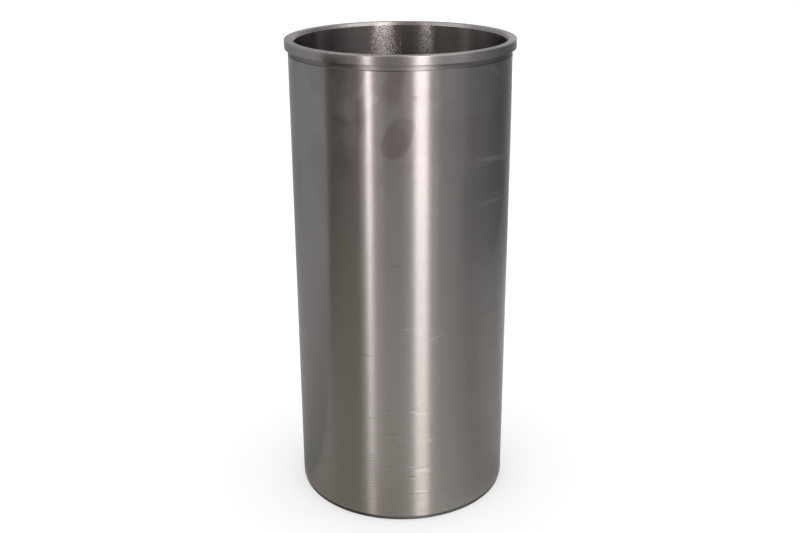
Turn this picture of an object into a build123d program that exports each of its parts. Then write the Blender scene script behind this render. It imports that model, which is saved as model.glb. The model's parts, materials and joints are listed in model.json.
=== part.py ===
from build123d import *
import os
from math import radians, tan

# Dry cylinder liner of a diesel engine: a thin iron sleeve, turned in one piece, that is
# pressed into a bored-out cylinder of the block. The flange at its top sits in a counterbore
# and is clamped by the cylinder head. The bore is left a little small, to be finished once
# the liner is in the block.
#
# Frame: the axis is Z, the lower end stands on Z = 0 and the flange is at the top.
# Lengths are in millimetres and angles in degrees.

# Driving dimensions of the sleeve
bore_diameter = 98.5
wall = 2.875  # from the bore to the ground outside
length = 226.75  # from the lower end to the top face

# Driving dimensions of the flange
flange_step = 1.575  # how far it stands out from the ground outside
flange_thickness = 4.0
flange_top_break = 0.35  # upper outer corner, at 45 degrees
flange_lower_break = 0.15  # lower outer corner, at 45 degrees

# Driving dimensions of the relief under the flange, where the grinding wheel runs out
relief_width = 2.75
relief_depth = 0.3
relief_ramp_angle = 45.0  # the side towards the ground outside, from the axis
relief_corner_radius = 0.25  # where the relief meets the flange

# Driving dimensions of the ends
lead_in_length = 2.0  # tapered start of the outside, which guides the liner into the block
lead_in_angle = 15.0  # from the axis
top_chamfer_length = 1.5  # mouth of the bore, which guides the piston rings in
top_chamfer_angle = 30.0  # from the axis
lower_chamfer = 0.5  # lower edge of the bore, at 45 degrees

# Sizes that follow
bore_radius = bore_diameter / 2
body_radius = bore_radius + wall
flange_radius = body_radius + flange_step
flange_underside = length - flange_thickness
relief_radius = body_radius - relief_depth
relief_bottom = flange_underside - relief_width
relief_ramp_length = relief_depth / tan(radians(relief_ramp_angle))
lead_in_depth = lead_in_length * tan(radians(lead_in_angle))
top_chamfer_depth = top_chamfer_length * tan(radians(top_chamfer_angle))


def outside_points():
    """The outside of the half section as (radius, height), from the lower end to the top."""
    return [
        (body_radius - lead_in_depth, 0),
        (body_radius, lead_in_length),
        (body_radius, relief_bottom),
        (relief_radius, relief_bottom + relief_ramp_length),
        (relief_radius, flange_underside),
        (flange_radius, flange_underside),
        (flange_radius, length),
    ]


def bore_points():
    """The bore of the half section as (radius, height), from the top to the lower end."""
    return [
        (bore_radius + top_chamfer_depth, length),
        (bore_radius, length - top_chamfer_length),
        (bore_radius, lower_chamfer),
        (bore_radius + lower_chamfer, 0),
    ]


def corner_at(sketch, radius, height):
    """The corner of the half section that lies nearest to a radius and a height."""
    return sketch.vertices().sort_by_distance((radius, 0, height))[0]


def half_section():
    """The liner's wall, cut along the axis, with its small corners finished."""
    section = Plane.XZ * make_face(Polyline(*outside_points(), *bore_points(), close=True))
    section = fillet(corner_at(section, relief_radius, flange_underside), relief_corner_radius)
    section = chamfer(corner_at(section, flange_radius, flange_underside), flange_lower_break)
    return chamfer(corner_at(section, flange_radius, length), flange_top_break)


def cylinder_liner():
    """The whole liner, turned about its axis."""
    liner = revolve(half_section(), axis=Axis.Z)
    liner.label = "cylinder_liner"
    return liner


os.makedirs("parts", exist_ok=True)
liner = cylinder_liner()
export_step(liner, "parts/cylinder_liner.step")

print(f"outside {2 * body_radius:.2f}, flange {2 * flange_radius:.2f}, bore {bore_diameter:.2f}")
print(f"length {length:.2f}, volume {liner.volume:.0f} mm3")
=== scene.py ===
# %% [markdown]
# # A dry cylinder liner
#
# This part is a thin iron sleeve that lines a cylinder of a diesel engine. It is turned and
# ground from one tube, so nothing on it is cast on, glued or screwed: every form is a ring
# about one axis. What makes it look real is less its shape than its finish. Each surface was
# cut by another tool, and each tool left marks of its own.
#
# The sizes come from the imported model, which is loaded first and stays as the frame. All
# that follows is built around it, in metres, with the axis on Z and the lower end on Z = 0.

import json
from collections import namedtuple
from math import cos, degrees, pi, radians, sin, tan

import bmesh
import bpy
from mathutils import Matrix


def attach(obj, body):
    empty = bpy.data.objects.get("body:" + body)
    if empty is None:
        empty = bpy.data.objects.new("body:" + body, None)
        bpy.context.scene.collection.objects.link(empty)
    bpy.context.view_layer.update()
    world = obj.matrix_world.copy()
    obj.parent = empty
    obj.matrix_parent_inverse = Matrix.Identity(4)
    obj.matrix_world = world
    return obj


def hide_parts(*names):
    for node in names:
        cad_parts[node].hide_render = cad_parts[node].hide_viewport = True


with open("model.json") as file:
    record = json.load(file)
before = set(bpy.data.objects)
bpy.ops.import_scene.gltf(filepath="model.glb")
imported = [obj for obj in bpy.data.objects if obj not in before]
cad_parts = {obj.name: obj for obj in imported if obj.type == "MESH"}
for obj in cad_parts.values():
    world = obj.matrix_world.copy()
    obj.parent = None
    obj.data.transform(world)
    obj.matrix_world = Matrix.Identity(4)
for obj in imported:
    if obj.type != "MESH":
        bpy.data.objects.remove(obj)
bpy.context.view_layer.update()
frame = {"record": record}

# %% [markdown]
# ## The sizes of the section
#
# A mount in the record is a place where another part meets this one: the piston runs in the
# bore, the block grips the outside, and its counterbore carries the flange. Those sizes
# matter most, so they are read from the record and not typed again. What no other part
# touches, such as the depth of the relief, is named here.

# %% Read the sizes that other parts depend on
MM = 0.001

mounts = {mount["name"]: mount for mount in frame["record"]["mounts"]}


def reach(mount):
    """Where a round mount starts and ends along the axis."""
    half = mount["dims"]["length_mm"] * MM / 2
    return mount["pos_m"][2] - half, mount["pos_m"][2] + half


bore_radius = mounts["bore"]["dims"]["r_mm"] * MM
body_radius = mounts["pressed_outside"]["dims"]["r_mm"] * MM
lower_chamfer, bore_top = reach(mounts["bore"])
lead_in_top, relief_bottom = reach(mounts["pressed_outside"])
flange_underside = mounts["flange_seat"]["pos_m"][2]
liner_top = mounts["top_face"]["pos_m"][2]
print(f"body {2 * body_radius / MM:.2f} mm, bore {2 * bore_radius / MM:.2f} mm, "
      f"length {liner_top / MM:.2f} mm")

# %% Name the sizes that no other part touches
flange_step = 1.575 * MM
relief_depth = 0.3 * MM
lead_in_angle = radians(15)
mouth_angle = radians(30)

flange_radius = body_radius + flange_step
relief_radius = body_radius - relief_depth
lead_in_depth = lead_in_top * tan(lead_in_angle)
mouth_depth = (liner_top - bore_top) * tan(mouth_angle)
print(f"flange {2 * flange_radius / MM:.2f} mm, lead-in {lead_in_depth / MM:.2f} mm deep, "
      f"mouth of the bore {mouth_depth / MM:.2f} mm deep")

# %% [markdown]
# ## The section
#
# On a lathe the work turns and the tool follows one line. Blender's spin is the same idea: a
# line is drawn once, in the plane through the axis, and turned through a full circle. The
# line here is the edge of the wall's section, with one vertex at each corner of the drawing.
#
# No machined corner is perfectly sharp. Each one is broken with a small bevel before the
# spin, because a broken edge catches a thin line of light, and that line tells the eye that
# this is solid metal. A bevel on one vertex of a line rounds the line there, and it costs
# far less than a bevel on the whole ring later.

# %% Name the corners, each with its radius, its height and the size of its break
top_break = 0.35 * MM
lower_break = 0.15 * MM
fine_break = 0.06 * MM
relief_corner = 0.25 * MM

corners = [
    (body_radius - lead_in_depth, 0, fine_break),
    (body_radius, lead_in_top, fine_break),
    (body_radius, relief_bottom, fine_break),
    (relief_radius, relief_bottom + relief_depth, fine_break),
    (relief_radius, flange_underside, relief_corner),
    (flange_radius, flange_underside, lower_break),
    (flange_radius, liner_top, top_break),
    (bore_radius + mouth_depth, liner_top, fine_break),
    (bore_radius, bore_top, fine_break),
    (bore_radius, lower_chamfer, fine_break),
    (bore_radius + lower_chamfer, 0, fine_break),
]
print("corners of the section:", len(corners))


# %% Draw the section and break its corners
def draw_section(bm):
    """The closed edge of the wall's section, with each corner broken by its own amount."""
    points = [bm.verts.new((radius, 0, height)) for radius, height, _ in corners]
    for start, end in zip(points, points[1:] + points[:1]):
        bm.edges.new((start, end))
    for point, (_, _, size) in zip(points, corners):
        bmesh.ops.bevel(bm, geom=[point], offset=size, offset_type="OFFSET", segments=2,
                        profile=0.5, affect="VERTICES", material=-1)


section = bmesh.new()
draw_section(section)
print("vertices on the section:", len(section.verts))

# %% [markdown]
# ## One turn of the lathe
#
# The rim is seen from close above, where a coarse circle would show its corners. With 360
# steps each flat strip is one degree wide, which is less than a millimetre. The spin meets
# its own start, so the seam is merged, and the faces are then turned to point outwards.

# %% Spin the section about the axis
TURN_STEPS = 360
SEAM_GAP = 0.001 * MM


def turn_on_lathe(bm, steps):
    """Turns the section through a full circle and closes the seam."""
    bmesh.ops.spin(bm, geom=bm.verts[:] + bm.edges[:], cent=(0, 0, 0), axis=(0, 0, 1),
                   dvec=(0, 0, 0), angle=2 * pi, steps=steps, use_merge=True,
                   use_duplicate=False)
    bmesh.ops.remove_doubles(bm, verts=bm.verts[:], dist=SEAM_GAP)
    bmesh.ops.recalc_face_normals(bm, faces=bm.faces[:])


turn_on_lathe(section, TURN_STEPS)
print("closed:", all(edge.is_manifold for edge in section.edges), "faces:", len(section.faces))


# %% Put the liner in the scene
def put_in_scene(bm, name):
    """A mesh object at the origin, with its place in its mesh."""
    mesh = bpy.data.meshes.new(name)
    bm.to_mesh(mesh)
    bm.free()
    piece = bpy.data.objects.new(name, mesh)
    bpy.context.scene.collection.objects.link(piece)
    return piece


liner = put_in_scene(section, "liner")
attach(liner, "root")
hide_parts("cylinder_liner")
print("liner:", len(liner.data.vertices), "vertices")

# %% [markdown]
# ## Writing a finish as a sum
#
# A finish is a small calculation: this much of the clean metal, less where oil has dried, a
# little rougher where a tool chattered. Blender holds it as boxes and wires. It reads better
# as a line of Python, so a thin wrapper stands for the number that comes out of a node, and
# adding or multiplying two of them adds the node that does it.

# %% A value that changes over a surface
class Value:
    """What a node gives out: a number, a colour, a direction or a shader."""

    def __init__(self, tree, socket):
        self.tree = tree
        self.socket = socket

    def __add__(self, other):
        return self.tree.math("ADD", self, other)

    def __sub__(self, other):
        return self.tree.math("SUBTRACT", self, other)

    def __rsub__(self, other):
        return self.tree.math("SUBTRACT", other, self)

    def __mul__(self, other):
        return self.tree.math("MULTIPLY", self, other)

    __radd__ = __add__
    __rmul__ = __mul__


# %% The nodes that make such values
class Tree:
    """The nodes of a material or of the world."""

    def __init__(self, owner):
        owner.use_nodes = True
        self.nodes = owner.node_tree.nodes
        self.links = owner.node_tree.links

    def feed(self, socket, value):
        """Gives a socket a plain value, or links what another node gives out."""
        if isinstance(value, Value):
            self.links.new(value.socket, socket)
        else:
            socket.default_value = value

    def node(self, kind, inputs, output=0, **settings):
        """A new node, with its settings made first, and the output that is wanted."""
        made = self.nodes.new("ShaderNode" + kind)
        for name, setting in settings.items():
            setattr(made, name, setting)
        for name, value in inputs.items():
            self.feed(made.inputs[name], value)
        return Value(self, made.outputs[output]) if made.outputs else None

    def math(self, operation, *values):
        """One step of arithmetic on numbers, such as MAXIMUM or SINE."""
        return self.node("Math", dict(enumerate(values)), operation=operation)

    def blend(self, factor, low, high):
        """The colour low where factor is 0, and high where it is 1. A Mix node has sockets
        for each kind of value, and those of its colours are 6 and 7, with 2 going out."""
        inputs = {"Factor": factor, 6: low, 7: high}
        return self.node("Mix", inputs, output=2, data_type="RGBA")

    def step(self, value, start, end):
        """0 at start, 1 at end, and a soft S between them."""
        inputs = {"Value": value, "From Min": start, "From Max": end}
        return self.node("MapRange", inputs, interpolation_type="SMOOTHSTEP")

    def bearing_of(self, place):
        """The angle round the axis in degrees: 0 at the front, and growing to the right."""
        x, y = (self.node("SeparateXYZ", {0: place}, output=axis) for axis in "XY")
        return self.math("ARCTAN2", x, 0 - y) * degrees(1)


# %% [markdown]
# ## What all the finishes share
#
# Turning and grinding leave fine grooves that run round the part. Light that meets them is
# thrown up and down far more than sideways, which is why a turned cylinder shows tall bright
# streaks and not round spots. Thousands of real grooves would be far too many faces, so the
# shader is told of them instead: it calls this anisotropy. Its grain follows the circle
# about the axis by itself, and a quarter turn spreads the light across the grooves.
#
# Patterns are laid out in millimetres. Noise is stretched along the circle and squeezed up
# the axis, so one call gives anything from a long fine scratch to a soft round cloud. One
# slow noise, called wander, is shared by all the marks and keeps their edges from being too
# perfect.

# %% A finish of the liner
QUARTER_TURN = 0.25
WANDER_SIZE = 7
WANDER_SEED = 7


class Finish(Tree):
    """A material of the liner, with the place that it colours, in millimetres."""

    def __init__(self, name, roughness, anisotropy, edge_tint):
        self.material = bpy.data.materials.new(name)
        super().__init__(self.material)
        self.shader = self.nodes["Principled BSDF"]
        self.paint(Metallic=1.0, Roughness=roughness, Anisotropic=anisotropy,
                   Anisotropic_Rotation=QUARTER_TURN, Specular_Tint=(edge_tint,) * 3 + (1,))
        place = self.node("TexCoord", {}, output="Object")
        self.place = self.node("VectorMath", {0: place, "Scale": 1 / MM}, operation="SCALE")
        self.height = self.node("SeparateXYZ", {0: self.place}, output="Z")
        self.bearing = self.bearing_of(self.place)
        self.wander = self.noise(WANDER_SIZE, WANDER_SIZE, detail=3, seed=WANDER_SEED) - 0.5

    def paint(self, **inputs):
        """Feeds sockets of the surface shader, such as Base_Color or Roughness."""
        for name, value in inputs.items():
            self.feed(self.shader.inputs[name.replace("_", " ")], value)

    def noise(self, along, across, detail=2.0, seed=0.0):
        """Noise from 0 to 1 whose marks are this long round the axis, and this high, in mm."""
        stretch = (1 / along, 1 / along, 1 / across)
        inputs = {0: self.place, 1: stretch, 2: (seed, seed, seed)}
        place = self.node("VectorMath", inputs, operation="MULTIPLY_ADD")
        inputs = {"Vector": place, "Scale": 1.0, "Detail": detail}
        return self.node("TexNoise", inputs, noise_dimensions="3D")

    def emboss(self, height, distance):
        """Raises the surface by a height from 0 to 1, times a distance in mm."""
        inputs = {"Height": height, "Strength": 1.0, "Distance": distance * MM}
        self.paint(Normal=self.node("Bump", inputs))


# %% [markdown]
# ## Marks that lie in one place
#
# Noise alone spreads a mark evenly over the whole wall, and real handling doesn't. A thumb
# touched one spot and a cloth wiped another. They could be painted on an image, but an image
# has to be drawn and stored. An oval is enough: it has a place, two half sizes and a slant,
# and a soft, ragged edge hides that it was ever an oval.
#
# A place is a bearing in degrees and a height in millimetres, which is how a fitter would
# point at it. A name that holds two numbers gives the two ends of a fade: where it is
# nothing, and where it is full.

# %% A patch with a ragged edge
MM_PER_DEGREE = radians(1) * body_radius / MM


def patch(finish, bearing, height, long, short, turn=0.0, edge=0.3, ragged=0.5):
    """1 inside an oval of these half sizes in mm, turned by an angle, and 0 outside. Its
    edge may be softer or more ragged."""
    along = (finish.bearing - bearing) * MM_PER_DEGREE
    up = finish.height - height
    slant = radians(turn)
    lengthwise = (along * cos(slant) + up * sin(slant)) * (1 / long)
    crosswise = (up * cos(slant) - along * sin(slant)) * (1 / short)
    distance = finish.math("SQRT", lengthwise * lengthwise + crosswise * crosswise)
    return finish.step(distance + finish.wander * ragged, 1 + edge, 1 - edge)


print(f"one degree of the wall is {MM_PER_DEGREE:.2f} mm")

# %% Many patches at once
Mark = namedtuple("Mark", "bearing height long short turn edge strength")

RAGGED_PER_EDGE = 3
BLOT_SIZE = 8
BLOTS = 0.35, 0.6
THINNEST = 0.6


def marks(finish, places):
    """The strongest of some marks at each point. Each is thinner in some places."""
    blots = finish.noise(along=BLOT_SIZE, across=BLOT_SIZE, detail=3, seed=11)
    total = 0.0
    for bearing, height, long, short, turn, edge, strength in places.values():
        ragged = RAGGED_PER_EDGE * edge
        inside = patch(finish, bearing, height, long, short, turn, edge, ragged)
        total = finish.math("MAXIMUM", total, inside * strength)
    return total * (finish.step(blots, *BLOTS) * (1 - THINNEST) + THINNEST)


print("a mark has:", ", ".join(Mark._fields))

# %% [markdown]
# ## Dried oil on the ground outside
#
# The grinding wheel leaves the smoothest surface, a warm grey with the sharpest streaks of
# light. Hands and oil have been on it since, most of all near the flange, where it is
# lifted. Oil that dries leaves a thin brown skin, so it takes only a little of the light
# away. One mark is a thumb's, and it shows best, because it lies between the two streaks.
#
# Round the marks hangs a thin haze of oil that no one placed: that is noise, strongest at
# the top. Part of it has crisp edges, where a drop stopped spreading. One more mark, at the
# top of the wide streak, is painted shade that dims the streak there.

# %% Dried oil, and painted shade on the wide streak
OIL_AND_SHADE_MARKS = {
    "thumb": Mark(-1.4, 191.3, 10.4, 6.2, turn=62, edge=0.14, strength=0.36),
    "above_the_thumb": Mark(-3, 214, 8, 4, turn=70, edge=0.5, strength=0.30),
    "below_the_thumb": Mark(-2, 178, 9, 3, turn=0, edge=0.7, strength=0.12),
    "smear_at_the_rim": Mark(-31, 219, 8, 5, turn=-30, edge=0.6, strength=0.58),
    "under_the_smear": Mark(-31, 211, 7, 5, turn=0, edge=0.8, strength=0.25),
    "left_spot": Mark(-30, 197.5, 4, 2.6, turn=-20, edge=0.6, strength=0.50),
    "left_run": Mark(-30, 180, 9, 5, turn=90, edge=0.7, strength=0.32),
    "left_veil": Mark(-29, 190, 30, 7, turn=90, edge=0.7, strength=0.12),
    "left_of_the_streak": Mark(-19.3, 200, 8, 2.6, turn=90, edge=0.5, strength=0.28),
    "left_speck": Mark(-20.5, 211.3, 0.8, 0.6, turn=0, edge=0.4, strength=0.4),
    "hairline": Mark(-18.8, 216, 4, 0.5, turn=75, edge=0.5, strength=0.25),
    # Painted shade: this mark dims the top of the wide streak.
    "right_veil": Mark(10, 213, 16, 6, turn=90, edge=0.7, strength=0.14),
    "right_run": Mark(14.5, 211, 6, 2.0, turn=90, edge=0.6, strength=0.2),
    "right_speck": Mark(6.5, 209, 1.6, 0.8, turn=-20, edge=0.4, strength=0.3),
}
HAZE_HEIGHTS = 120, 215
HAZE_LOW_DOWN = 0.1
SOFT_CLOUDS = 0.48, 0.70
SOFT_HAZE = 0.08
CRISP_CLOUDS = 0.50, 0.53
CRISP_HAZE = 0.06


def oil(finish):
    """How much dried oil and painted shade lie on the iron, from 0 to 1."""
    high = finish.step(finish.height, *HAZE_HEIGHTS) + HAZE_LOW_DOWN
    cloud = finish.noise(along=22, across=30, detail=3)
    haze = (finish.step(cloud, *SOFT_CLOUDS) * SOFT_HAZE
            + finish.step(cloud, *CRISP_CLOUDS) * CRISP_HAZE)
    return finish.math("MAXIMUM", haze * high, marks(finish, OIL_AND_SHADE_MARKS))


print("marks of oil:", len(OIL_AND_SHADE_MARKS))

# %% [markdown]
# ## A film that ran down
#
# On the right a broad film of oil has run down and dried. Its left side thins out slowly,
# but its right side ends in a crisp line that slants, steeply at the top and flatter lower
# down, and a film dries darkest along such a line. So it isn't an oval: it is what lies to
# the left of two straight lines. Each line is given by its slant, in degrees for each
# millimetre of height, and by the bearing at which it would reach the lower end.

# %% The film of oil
UPPER_SLANT, UPPER_START = 0.175, 40.3
LOWER_SLANT, LOWER_START = 0.48, -6
EDGE_WANDER = 2
CRISP_EDGE = 0, 0.8
DRIED_EDGE = 12, 0.5
DRIED_DARKER = 0.3
FILM_LEFT = 18, 54
FILM_TOP = 177, 173
FILM_BOTTOM = 120, 142
BOTTOM_WANDER = 8


def film(finish):
    """A broad film of oil on the right, from 0 to 1."""
    upper_line = finish.height * UPPER_SLANT + UPPER_START
    lower_line = finish.height * LOWER_SLANT + LOWER_START
    right_edge = finish.math("MINIMUM", upper_line, lower_line) + finish.wander * EDGE_WANDER
    inwards = right_edge - finish.bearing
    ragged_height = finish.height + finish.wander * BOTTOM_WANDER

    across = finish.step(inwards, *CRISP_EDGE) * finish.step(finish.bearing, *FILM_LEFT)
    up = finish.step(ragged_height, *FILM_BOTTOM) * finish.step(finish.height, *FILM_TOP)
    dried = finish.step(inwards, *DRIED_EDGE) * DRIED_DARKER + (1 - DRIED_DARKER)
    return across * up * dried


bend = (UPPER_START - LOWER_START) / (LOWER_SLANT - UPPER_SLANT)
print(f"the film's right edge bends at {bend:.0f} mm")

# %% [markdown]
# ## Wiped places and scratches
#
# Where a cloth or a sleeve passed, the oil is gone and the iron is brighter than anywhere
# else. On the right these are narrow swipes, one above the other.
#
# Lower down the liner has rubbed against its neighbours in the crate. A fresh scratch is
# bare metal and shines. An older one is a groove full of dirt that throws the light away.
# Both kinds lie nearly level, because liners roll against each other, and most are so faint
# that noise can stand for them. A few strong ones are placed one by one.

# %% Wiped places
WIPED = {
    "beside_the_spot": Mark(-25.5, 203, 5, 3.2, turn=80, edge=0.6, strength=0.32),
    "under_the_flange": Mark(-23, 214, 4.5, 3.5, turn=90, edge=0.8, strength=0.20),
    "beside_the_run": Mark(-24, 192, 5, 3.5, turn=90, edge=0.8, strength=0.20),
    "between_the_streaks": Mark(-12.5, 208, 1.5, 2, turn=0, edge=0.6, strength=0.3),
    "across_the_streak": Mark(-20, 210.8, 5, 1.8, turn=52, edge=0.6, strength=0.26),
    "top_swipe": Mark(53, 216.5, 5, 1.0, turn=-34, edge=0.6, strength=0.30),
    "upper_swipe": Mark(56, 176.7, 12, 1.0, turn=-8, edge=0.5, strength=0.40),
    "lower_swipe": Mark(54, 157, 10, 0.8, turn=-3, edge=0.5, strength=0.30),
    "short_swipe": Mark(58, 160, 5, 0.5, turn=-5, edge=0.5, strength=0.25),
}
print("wiped places:", len(WIPED))

# %% Scratches, each with its bearing, height, half length and slant
LIGHT_SCRATCHES = [
    (1, 102, 3, 0), (18, 97, 4, 20), (5.5, 59.3, 2, 0), (9, 58.4, 2, 0), (2.5, 44, 1, 0),
    (15.5, 43.8, 1.6, 3), (4.5, 29.6, 2.5, 3), (11, 27.6, 4, 4), (5.8, 23.2, 1.2, 0),
    (10.5, 15.8, 3, -4),
]
DULL_SCRATCHES = [
    (-18, 88, 3, 0), (-3, 133, 2, 0), (-15.5, 55.5, 2.4, 0), (-16, 35.5, 1.6, 12),
    (-4.5, 47.7, 3, 1), (-6, 60.5, 1.5, 0), (10.5, 29.4, 5, 6), (5.5, 24.3, 1.8, 0),
    (9.5, 14.7, 8, -4), (-16, 11, 2, 10),
]
print("placed scratches:", len(LIGHT_SCRATCHES), "light,", len(DULL_SCRATCHES), "dull")

# %% Draw the scratches
SCRATCH_HALF_WIDTH = 0.35
RUBBED_HEIGHTS = 130, 20
LINES = 0.62, 0.72
FAINT = 0.5


def scratches(finish, places, seed):
    """1 on some placed scratches, less on many faint ones, and 0 elsewhere."""
    low = finish.step(finish.height, *RUBBED_HEIGHTS)
    lines = finish.step(finish.noise(along=5, across=0.6, detail=1, seed=seed), *LINES)
    marked = lines * low * FAINT
    for bearing, height, long, slant in places:
        line = patch(finish, bearing, height, long, SCRATCH_HALF_WIDTH, turn=slant, edge=0.5)
        marked = finish.math("MAXIMUM", marked, line)
    return marked


# %% [markdown]
# ## Chatter
#
# A grinding wheel that trembles leaves a row of short level dashes, evenly spaced. They show
# only where a streak of light runs through them, so they are drawn there alone: a wave up
# the wall, shut in between two bearings and two heights.

# %% The dashes of a trembling wheel
CHATTER_PITCH = 1.6
CHATTER_WANDER = 0.4
CHATTER_LEFT = -18.5, -17
CHATTER_RIGHT = -13.2, -14.2
CHATTER_TOP = 37, 33
CHATTER_BOTTOM = 12, 18


def chatter(finish):
    """Short dull dashes near the lower end, from 0 to 1."""
    turns = finish.height * (1 / CHATTER_PITCH) + finish.wander * CHATTER_WANDER
    wave = finish.math("SINE", turns * (2 * pi)) * 0.5 + 0.5
    left, right = (finish.step(finish.bearing, *side) for side in (CHATTER_LEFT, CHATTER_RIGHT))
    bottom, top = (finish.step(finish.height, *end) for end in (CHATTER_BOTTOM, CHATTER_TOP))
    return wave * (left * right * bottom * top)


print("dashes:", round((CHATTER_TOP[0] - CHATTER_BOTTOM[0]) / CHATTER_PITCH))

# %% [markdown]
# ## The ground finish
#
# All of these marks meet in one material. They could be laid over the iron as layers, each
# with a shader of its own, but then five shaders would have to be mixed. It is enough that
# they change the colour and the roughness of one, in the order in which they came: the
# clean iron, the oil on it, the film, what was wiped or scratched bare, and the dirt in the
# old scratches. The iron is a little lighter low down, where no hand lifts the liner.

# %% The colours and strengths of the ground finish
IRON = (0.236, 0.218, 0.206, 1)
CLEAN_IRON = (0.270, 0.249, 0.235, 1)
DARK_IRON = (0.150, 0.139, 0.129, 1)
BARE_IRON = (0.42, 0.40, 0.38, 1)
OIL_AND_SHADE_IRON = (0.072, 0.050, 0.052, 1)
FILMED_IRON = (0.055, 0.059, 0.066, 1)

CLEAN_HEIGHTS = 200, 20
FILM_STRENGTH = 0.27
BARE_STRENGTH = 0.4
DULL_STRENGTH = 0.5

GROUND_ROUGHNESS = 0.30
OIL_ROUGHENS = 0.10
BANDS_ROUGHEN = 0.05
BARE_ROUGHENS = 0.20
DULL_ROUGHENS = 0.03
roughest = GROUND_ROUGHNESS + OIL_ROUGHENS + BANDS_ROUGHEN / 2 + BARE_ROUGHENS + DULL_ROUGHENS
print(f"roughness: {GROUND_ROUGHNESS} where clean, {roughest:.2f} at most")


# %% Mix the ground finish
def ground_finish():
    finish = Finish("ground_iron", GROUND_ROUGHNESS, anisotropy=1.0, edge_tint=0.65)
    oil_and_shade = oil(finish)
    bare = scratches(finish, LIGHT_SCRATCHES, seed=3)
    dulled = scratches(finish, DULL_SCRATCHES, seed=4)
    dulled = finish.math("MAXIMUM", dulled, chatter(finish))
    bands = finish.noise(along=160, across=3.5) - 0.5

    clean = finish.step(finish.height, *CLEAN_HEIGHTS)
    # Oil, and the painted shade at the top of the wide streak, darken the iron here.
    worn = finish.blend(oil_and_shade, finish.blend(clean, IRON, CLEAN_IRON), OIL_AND_SHADE_IRON)
    worn = finish.blend(film(finish) * FILM_STRENGTH, worn, FILMED_IRON)
    light = finish.math("MAXIMUM", marks(finish, WIPED), bare * BARE_STRENGTH)
    worn = finish.blend(light, worn, BARE_IRON)
    finish.paint(Base_Color=finish.blend(dulled * DULL_STRENGTH, worn, DARK_IRON),
                 Roughness=oil_and_shade * OIL_ROUGHENS + bands * BANDS_ROUGHEN
                 + bare * BARE_ROUGHENS + dulled * DULL_ROUGHENS + GROUND_ROUGHNESS)
    finish.emboss(finish.noise(along=30, across=0.4), distance=0.03)
    return finish.material


finishes = {"ground": ground_finish()}
print("nodes of the ground finish:", len(finishes["ground"].node_tree.nodes))

# %% [markdown]
# ## The turned flange and relief
#
# The flange's edge and the relief below it were cut with a pointed tool and not ground
# afterwards. Their grooves are coarser, so they are rougher and a little darker, and the
# bright streaks run across them wider and dimmer than on the ground wall. The grooves could
# be cut into the section, but they are finer than a pixel, so a bump is enough.
#
# The corner at the foot of the relief is painted darker: painted shade in that recess. On
# the flange, a patch of painted shade dims the wide streak. On the left, the smear from the
# wall runs on up over the relief and the flange.

# %% The turned flange
TURNED_IRON = (0.300, 0.277, 0.262, 1)
GROOVES = 0.3, 0.8
GROOVE_TONE = 0.3
STAIN_STRENGTH = 0.5
# How strongly the painted shade dims the wide streak on the flange.
STREAK_SHADE_STRENGTH = 0.4
FLANGE_SMEAR_STRENGTH = 0.62


def flange_finish():
    finish = Finish("turned_flange", roughness=0.38, anisotropy=1.0, edge_tint=0.6)
    grooves = finish.noise(along=60, across=0.5)
    # A stain near the front of the flange.
    darkening = patch(finish, bearing=-5, height=224.5, long=7, short=5, edge=0.5, ragged=1.0)
    # Painted shade: this patch dims the wide streak where it crosses the flange.
    streak_shade = patch(finish, bearing=10, height=222, long=14, short=8, edge=0.5, ragged=1.0)
    smear = patch(finish, bearing=-32, height=222, long=6, short=5, edge=0.6, ragged=1.5)
    darkening = finish.math("MAXIMUM", darkening * STAIN_STRENGTH, streak_shade * STREAK_SHADE_STRENGTH)
    tone = finish.math("MAXIMUM", finish.step(grooves, *GROOVES) * GROOVE_TONE, darkening)
    turned = finish.blend(tone, TURNED_IRON, DARK_IRON)
    finish.paint(Base_Color=finish.blend(smear * FLANGE_SMEAR_STRENGTH, turned, OIL_AND_SHADE_IRON))
    finish.emboss(grooves, distance=0.03)
    return finish.material


finishes["flange"] = flange_finish()
print("finishes so far:", list(finishes))

# %% The turned relief
RELIEF_FOOT = relief_bottom / MM
# The painted shade in the corner at the foot of the relief fades in between these heights.
SHADED_CORNER = RELIEF_FOOT + 0.45, RELIEF_FOOT + 0.25
CORNER_SHADE_STRENGTH = 0.42
RELIEF_SMEAR_STRENGTH = 0.16


def relief_finish():
    finish = Finish("turned_relief", roughness=0.38, anisotropy=1.0, edge_tint=0.5)
    grooves = finish.noise(along=60, across=0.3)
    turned = finish.blend(grooves, TURNED_IRON, DARK_IRON)
    smear = patch(finish, bearing=-35, height=219, long=7, short=7, edge=0.6, ragged=1.5)
    smeared = finish.blend(smear * RELIEF_SMEAR_STRENGTH, turned, OIL_AND_SHADE_IRON)
    # Painted shade: the corner at the foot of the relief is darkened.
    corner = finish.step(finish.height, *SHADED_CORNER)
    finish.paint(Base_Color=finish.blend(corner * CORNER_SHADE_STRENGTH, smeared, OIL_AND_SHADE_IRON))
    finish.emboss(grooves, distance=0.08)
    return finish.material


finishes["relief"] = relief_finish()
print("finishes so far:", list(finishes))

# %% [markdown]
# ## The lead-in
#
# The taper at the lower end guides the liner into the block. It faces down, so it mirrors
# little but the table below it, where the liner's own shadow lies. Its iron is painted much
# darker, as painted shade for that shadowed table, and darker still on its left. It is turned
# as well, but worn dull, so its grooves count for less.

# %% The turned lead-in
# The lead-in's iron is painted dark: painted shade for the shadowed table that it mirrors.
LEAD_IN_SHADED_IRON = (0.070, 0.065, 0.059, 1)
LEFT_SHADE = (0.030, 0.028, 0.025, 1)
LEFT_SHADE_STRENGTH = 0.55


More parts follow.
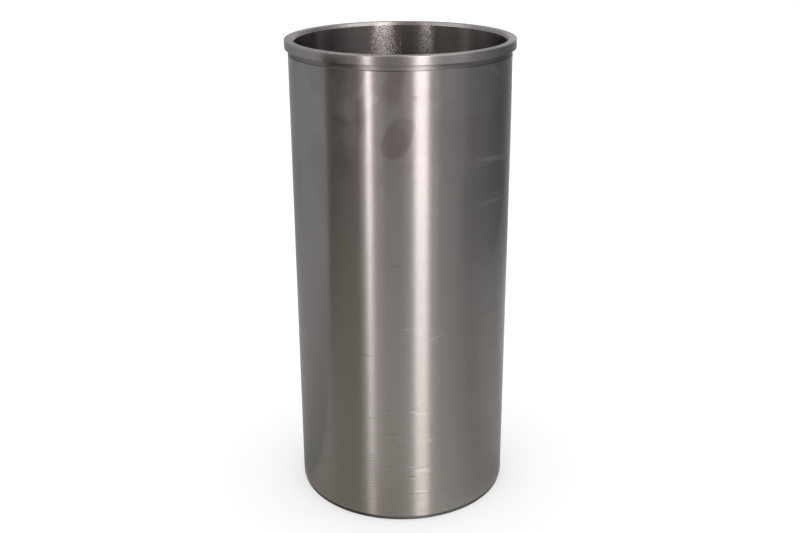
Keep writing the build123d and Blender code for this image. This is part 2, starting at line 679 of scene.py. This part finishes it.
def lead_in_finish():
    finish = Finish("turned_lead_in", roughness=0.5, anisotropy=0.8, edge_tint=0.6)
    turned = finish.blend(finish.noise(along=20, across=1), LEAD_IN_SHADED_IRON, DARK_IRON)
    # Painted shade: the lead-in is darker still on its left.
    left_shading = patch(finish, bearing=-38, height=1, long=22, short=9, edge=0.4)
    finish.paint(Base_Color=finish.blend(left_shading * LEFT_SHADE_STRENGTH, turned, LEFT_SHADE))
    return finish.material


finishes["lead_in"] = lead_in_finish()
print("finishes so far:", list(finishes))

# %% [markdown]
# ## The faced ends
#
# The rim was cut by a tool that moved in towards the axis, so its grooves are rings. Seen
# from a low angle it mirrors what stands behind it, and it is the lightest surface of all.
# Fine pits and specks of the iron's own grain show in it. Each could be a dent in the mesh,
# but there are thousands, so one fine noise gives them both their tone and their bump.

# %% The faced finish
BRIGHT_IRON = (0.335, 0.310, 0.292, 1)
GRAIN_SIZE = 0.9
PITS = 0.45, 0.75


def faced_finish():
    finish = Finish("faced_iron", roughness=0.38, anisotropy=0.8, edge_tint=0.65)
    grain = finish.noise(along=GRAIN_SIZE, across=GRAIN_SIZE)
    finish.paint(Base_Color=finish.blend(finish.step(grain, *PITS), BRIGHT_IRON, IRON))
    finish.emboss(grain, distance=0.03)
    return finish.material


finishes["faced"] = faced_finish()
print("finishes so far:", list(finishes))

# %% [markdown]
# ## The bored wall
#
# The bore is left rough on purpose, because it is finished only after the liner has been
# pressed into the block. The boring tool tears the iron a little, and the torn grain
# sparkles where a light falls on it. Away from the light the bore is dark, since most of
# what it mirrors is more of the bore.
#
# Grain as strong as that all round would flicker in every dark place too. So it is strong in
# two tall bands at the back, where the light falls, and faint elsewhere.

# %% The torn bands of the bore
RIGHT_BAND_STRENGTH = 0.6


def torn_bands(finish):
    """Two tall bands at the back of the bore where the iron was torn, from 0 to 1."""
    left = patch(finish, bearing=-170, height=178, long=10, short=55, edge=0.3, ragged=1.0)
    right = patch(finish, bearing=165.5, height=178, long=6.5, short=55, edge=0.4, ragged=1.2)
    return finish.math("MAXIMUM", left, right * RIGHT_BAND_STRENGTH)


# %% The bored finish
BORE_IRON = (0.225, 0.205, 0.190, 1)
BORE_RING = (0.192, 0.175, 0.161, 1)
RINGS = 0.2, 0.8
TORN_GRAIN = 0.44, 0.60
SMOOTHED = 0.3  # taken off the grain, so that the wall between the tears is smoother
BORE_ROUGHNESS = 0.28
TORN_ROUGHENS = 0.36
FAINT_GRAIN = 0.15


def bored_finish():
    finish = Finish("bored_iron", BORE_ROUGHNESS, anisotropy=1.0, edge_tint=0.5)
    torn = torn_bands(finish)
    grain = finish.noise(along=0.52, across=0.45, detail=1)
    rough = (finish.step(grain, *TORN_GRAIN) - SMOOTHED) * torn
    rings = finish.step(finish.noise(along=60, across=1.2), *RINGS)
    finish.paint(Base_Color=finish.blend(rings, BORE_RING, BORE_IRON),
                 Roughness=rough * TORN_ROUGHENS + BORE_ROUGHNESS)
    finish.emboss(grain * (torn * (1 - FAINT_GRAIN) + FAINT_GRAIN), distance=0.08)
    return finish.material


finishes["bored"] = bored_finish()
print("finishes so far:", list(finishes))

# %% [markdown]
# ## Which tool cut which face
#
# The liner could be cut into one mesh for each finish, but then every ring where two of them
# meet would be a seam. It stays one mesh, and each face is given the finish of the tool that
# cut it. Its place in the section says which one that was.
#
# Smooth shading would drag light round the broken corners. Weighted normals stop that: at
# each corner the widest face decides, so flat walls stay flat and only the break is round.

# %% Give each face its finish
LEVEL = 0.8
NEAR_WALL = 0.02 * MM


def zone_of(face):
    """The name of the surface that a face belongs to, from where its centre lies."""
    radius, height = face.center.xy.length, face.center.z
    if abs(face.normal.z) > LEVEL and height < flange_underside - MM:
        return "faced"
    if radius < bore_radius + NEAR_WALL:
        return "bored"
    if height > liner_top - top_break or radius < (bore_radius + body_radius) / 2:
        return "faced"
    if height < lead_in_top:
        return "lead_in"
    if height > flange_underside - fine_break:
        return "flange"
    if height > relief_bottom:
        return "relief"
    return "ground"


slots = {zone: index for index, zone in enumerate(finishes)}
for material in finishes.values():
    liner.data.materials.append(material)
for face in liner.data.polygons:
    face.material_index = slots[zone_of(face)]
    face.use_smooth = True
counts = [sum(face.material_index == slot for face in liner.data.polygons)
          for slot in slots.values()]
print("faces in each finish:", dict(zip(slots, counts)))

# %% Keep the flat walls flat
WIDEST_FACE_DECIDES = 100

weighted = liner.modifiers.new("flat_walls", "WEIGHTED_NORMAL")
weighted.weight = WIDEST_FACE_DECIDES
print("modifiers:", [modifier.name for modifier in liner.modifiers])

# %% [markdown]
# ## The floor and the room
#
# Polished metal has hardly any colour of its own: it shows the room. So the room is built
# with as much care as the part. The floor is white paper that runs far out, and the world
# above it is white at a plain level. The floor has a little glow for the rays that show it,
# which lifts the paper to plain white and leaves the liner's soft shadow in place.

# %% The paper and the room
WHITE = (1, 1, 1, 1)
PAPER_SHEET = (0.78, 0.78, 0.78, 1)
FLOOR_GLOW = 0.33


def paper():
    """White paper: a diffuse sheet, with a glow for the rays that show it."""
    material = bpy.data.materials.new("white_paper")
    tree = Tree(material)
    tree.nodes.clear()
    rays = [tree.node("LightPath", {}, output=name)
            for name in ("Is Camera Ray", "Is Glossy Ray", "Is Transmission Ray")]
    shown = tree.math("MAXIMUM", tree.math("MAXIMUM", rays[0], rays[1]), rays[2])
    sheet = tree.node("BsdfDiffuse", {"Color": PAPER_SHEET})
    glow = tree.node("Emission", {"Color": WHITE, "Strength": shown * FLOOR_GLOW})
    tree.node("OutputMaterial", {"Surface": tree.node("AddShader", {0: sheet, 1: glow})})
    return material


def room():
    """A plain white world."""
    world = bpy.data.worlds.new("room")
    tree = Tree(world)
    tree.feed(tree.nodes["Background"].inputs["Color"], WHITE)
    return world


# %% Lay the floor
floor_radius = 6.0

sheet = bmesh.new()
bmesh.ops.create_circle(sheet, cap_ends=True, radius=floor_radius, segments=64)
floor = put_in_scene(sheet, "floor")
floor.data.materials.append(paper())
bpy.context.scene.world = room()
print("floor", floor_radius, "m")

# %% [markdown]
# ## Softboxes
#
# Two tall softboxes make the two streaks. Each stands at a bearing: an angle round the axis
# from the camera's side. A wall that faces halfway between the camera and a light mirrors
# that light, so the bearing places the streak, the width of the box sets its width, and the
# box's distance sets how fast the streak fades down the wall. A small lamp would give one
# short glint, which the grooves smear into a dim line. A tall box fills the streak from end
# to end.
#
# Two wide windows, high up on either side, lay a faint sheen on the bore, on the flange and
# on the upper part of the wall. Two short strips stand low behind the liner and graze past
# it, which draws a thin light line down the edges of its upper part. The paper is lit by the
# room alone, so the boxes leave it plain.

# %% A softbox
LAMP_COLOUR = (1.0, 0.955, 1.0)


def standing(bearing, distance, base, height):
    """The middle of an upright sheet that stands at a bearing and faces the axis."""
    turned = Matrix.Rotation(radians(bearing), 4, "Z")
    raised = Matrix.Rotation(radians(90), 4, "X")
    return turned @ Matrix.Translation((0, -distance, base + height / 2)) @ raised


def softbox(name, bearing, distance, width, height, radiance, base=0.0):
    """A tall softbox. Its power follows from how bright its face looks."""
    lamp = bpy.data.lights.new(name, "AREA")
    lamp.shape = "RECTANGLE"
    lamp.size = width
    lamp.size_y = height
    lamp.color = LAMP_COLOUR
    lamp.energy = radiance * pi * width * height
    light = bpy.data.objects.new(name, lamp)
    light.matrix_world = standing(bearing, distance, base, height)
    light.visible_camera = False
    light.visible_diffuse = False
    bpy.context.scene.collection.objects.link(light)
    print(f"{name}: {width:.2f} m wide at {bearing} degrees, {lamp.energy:.1f} W")


# %% Stand the softboxes round the liner
softbox("wide_strip", bearing=20.5, distance=2.4, width=0.56, height=2.3, radiance=11.9)
softbox("narrow_strip", bearing=-31.2, distance=0.8, width=0.067, height=0.8, radiance=9.4)
softbox("right_window", bearing=60, distance=0.8, width=0.7, height=0.6, radiance=3.0,
        base=0.75)
softbox("left_window", bearing=-72, distance=0.8, width=0.6, height=0.5, radiance=1.7,
        base=0.7)
softbox("rear_right_strip", bearing=165, distance=1.0, width=0.15, height=0.3, radiance=5.0)
softbox("rear_left_strip", bearing=-160, distance=1.0, width=0.08, height=0.3, radiance=5.0)

# %% [markdown]
# ## Cards
#
# Light alone makes metal look like plaster. In a studio, cards are stood beside the metal,
# just out of view, and it turns dark or pale where it mirrors them. A picture of a studio
# wrapped round the scene would do the same, but it would have to be found and stored, and
# it can't be moved a little to the left.
#
# Each card here is a bent sheet about the axis, made by spinning one short line. It is seen
# by mirrored rays alone, so it changes a reflection and leaves the floor and the shadow as
# they are. Its tone may run from one end to the other, as a card's does under one lamp.

# %% A card
CARD_STEPS = 16


def card(name, near, far, bearings, tones):
    """A sheet from one bearing to another, with a tone at each. Near and far are its two
    edges, each given as a distance from the axis and a height."""
    start, end = bearings
    bm = bmesh.new()
    turned = Matrix.Rotation(radians(start), 4, "Z")
    ends = [bm.verts.new(turned @ Matrix.Translation((0, -distance, height)).translation)
            for distance, height in (near, far)]
    edge = bm.edges.new(ends)
    bmesh.ops.spin(bm, geom=ends + [edge], cent=(0, 0, 0), axis=(0, 0, 1),
                   dvec=(0, 0, 0), angle=radians(end - start), steps=CARD_STEPS)
    board = put_in_scene(bm, name)
    board.data.materials.append(card_tone(name, bearings, tones))
    for ray in ("camera", "diffuse", "transmission", "shadow"):
        setattr(board, "visible_" + ray, False)
    print(f"{name}: {start} to {end} degrees")


def card_tone(name, bearings, tones):
    """A plain glow whose tone runs from the card's first end to its second."""
    material = bpy.data.materials.new(name)
    tree = Tree(material)
    tree.nodes.clear()
    bearing = tree.bearing_of(tree.node("TexCoord", {}, output="Object"))
    tone = tree.blend(tree.step(bearing, *bearings), *tones)
    tree.node("OutputMaterial", {"Surface": tree.node("Emission", {"Color": tone})})
    return material


# %% Two ways to place a card
on_table = 0.001


def upright(name, distance, heights, bearings, tones):
    """A card that stands at one distance, from one height to another."""
    card(name, *((distance, height) for height in heights), bearings, tones)


def lying(name, distances, bearings, tones, height=on_table):
    """A card that lies level, from one distance to another."""
    card(name, *((distance, height) for distance in distances), bearings, tones)


# %% [markdown]
# ## Upright cards
#
# On the left a nearly black card gives the wall its darkest band, and it grows lighter
# towards the narrow streak. Farther round, pale cards lighten the whole left side. On the
# right the tones change slowly, from linen through slate to pale, so that side darkens
# evenly and is light again only at its very edge. A dim board overhead keeps the broken
# corner of the flange from shining all the way round.

# %% Stand the upright cards
BLACK = (0.155, 0.139, 0.120, 1)
DUSK = (0.34, 0.325, 0.29, 1)
DIM = (0.12, 0.11, 0.10, 1)
PALE = (0.74, 0.77, 0.81, 1)
FAR_PALE = (0.70, 0.73, 0.76, 1)
LINEN = (0.60, 0.62, 0.64, 1)
STEEL = (0.40, 0.42, 0.45, 1)
SLATE = (0.285, 0.32, 0.36, 1)

left_row = 0.3
right_row = 0.35
top_of_dusk = 0.07
ceiling = 0.9

upright("black_card", left_row, (top_of_dusk, 0.36), bearings=(-75, -38), tones=(BLACK, DUSK))
upright("dusk_card", left_row, (on_table, top_of_dusk), bearings=(-75, -38), tones=(DUSK, DUSK))
upright("pale_card", left_row, (on_table, 0.6), bearings=(-165, -96), tones=(FAR_PALE, PALE))
upright("low_pale_card", left_row, (on_table, 0.38), bearings=(-96, -76), tones=(PALE, PALE))
upright("linen_card", right_row, (on_table, 0.38), bearings=(35, 75), tones=(LINEN, STEEL))
upright("slate_card", right_row, (on_table, 0.5), bearings=(75, 117), tones=(STEEL, SLATE))
upright("slate_card_end", right_row, (on_table, 0.5), bearings=(117, 155), tones=(SLATE, PALE))
lying("dark_ceiling", (0.05, 0.9), bearings=(-38, 8), tones=(DIM, DIM), height=ceiling)

# %% [markdown]
# ## What the table top shows
#
# The lower half of the wall mirrors the table, not the cards. A real table top shows some of
# the lamps and cards again, and it is a little darker close to the liner, which shades it.
# White paper shows none of that, so thin sheets lie on it, a millimetre up. Each is a piece
# of a ring. They touch and never overlap, because two sheets at one height would flicker.

# %% Lay the left part of the table top
ASH = (0.64, 0.61, 0.56, 1)
CINDER = (0.55, 0.525, 0.48, 1)
NEAR_PAPER = (0.88, 0.90, 0.85, 1)
PAPER = (1.02, 1.04, 0.98, 1)
CLOUD = (0.44, 0.45, 0.44, 1)

touching = 0.053
beside = 0.056
shaded_reach = 0.085
dark_reach = 0.16
front_reach = 0.5

lying("black_table", (touching, left_row), bearings=(-76, -36), tones=(ASH, CINDER))
lying("foot_table", (touching, shaded_reach), bearings=(-36, 30), tones=(CINDER, NEAR_PAPER))
lying("black_table_end", (shaded_reach, dark_reach), bearings=(-36, -24),
      tones=(CINDER, NEAR_PAPER))
lying("left_table", (dark_reach, front_reach), bearings=(-36, -24),
      tones=(NEAR_PAPER, NEAR_PAPER))
lying("pale_table", (beside, left_row), bearings=(-150, -76), tones=(PAPER, CLOUD))

# %% Lay the front and the right part
DULL_PAPER = (0.81, 0.83, 0.78, 1)
SHADE = (0.67, 0.68, 0.655, 1)
BRIGHT_PAPER = (0.95, 0.97, 0.93, 1)
GLOWING = (1.6, 1.6, 1.6, 1)

lying("near_table", (shaded_reach, front_reach), bearings=(-24, 30),
      tones=(NEAR_PAPER, NEAR_PAPER))
lying("shaded_table", (beside, right_row), bearings=(30, 70), tones=(DULL_PAPER, SHADE))
lying("shaded_table_end", (beside, right_row), bearings=(70, 110), tones=(SHADE, BRIGHT_PAPER))
lying("bright_table", (beside, right_row), bearings=(110, 160), tones=(BRIGHT_PAPER, GLOWING))

# %% [markdown]
# ## Whoever holds the camera
#
# Between the two streaks the wall mirrors the place where the camera is, and someone stands
# there. A dusky sheet far behind it, as high as a person's chest, and the shade in front of
# their feet are enough.

# %% Stand someone behind the camera
TWILIGHT = (0.73, 0.68, 0.69, 1)
behind_camera = 1.2
chest_height = 1.0

upright("photographer", behind_camera, (on_table, chest_height), bearings=(-17, 3),
        tones=(TWILIGHT, TWILIGHT))
lying("photographer_table", (front_reach, behind_camera), bearings=(-17, 3),
      tones=(TWILIGHT, TWILIGHT))

# %% [markdown]
# ## The camera
#
# The camera stands half a metre away and a little above the rim, and looks down, so that
# both the mouth of the bore and the whole outside show. It is turned and leant by a fraction
# of a degree, as a camera held by hand is.

# %% Place the camera
LENS = 48.044
SENSOR_WIDTH = 36.0
camera_place = (0, -0.4986, 0.3013)
look_down, look_left, lean = radians(20.652), radians(0.080), radians(-0.261)

camera = bpy.data.objects.new("camera", bpy.data.cameras.new("camera"))
camera.data.lens = LENS
camera.data.sensor_width = SENSOR_WIDTH
camera.data.sensor_fit = "HORIZONTAL"
camera.matrix_world = (Matrix.Translation(camera_place)
                       @ Matrix.Rotation(look_left, 4, "Z")
                       @ Matrix.Rotation(pi / 2 - look_down, 4, "X")
                       @ Matrix.Rotation(lean, 4, "Z"))
bpy.context.scene.collection.objects.link(camera)
bpy.context.scene.camera = camera
bpy.context.scene.view_settings.view_transform = "Standard"
print("camera", camera_place)
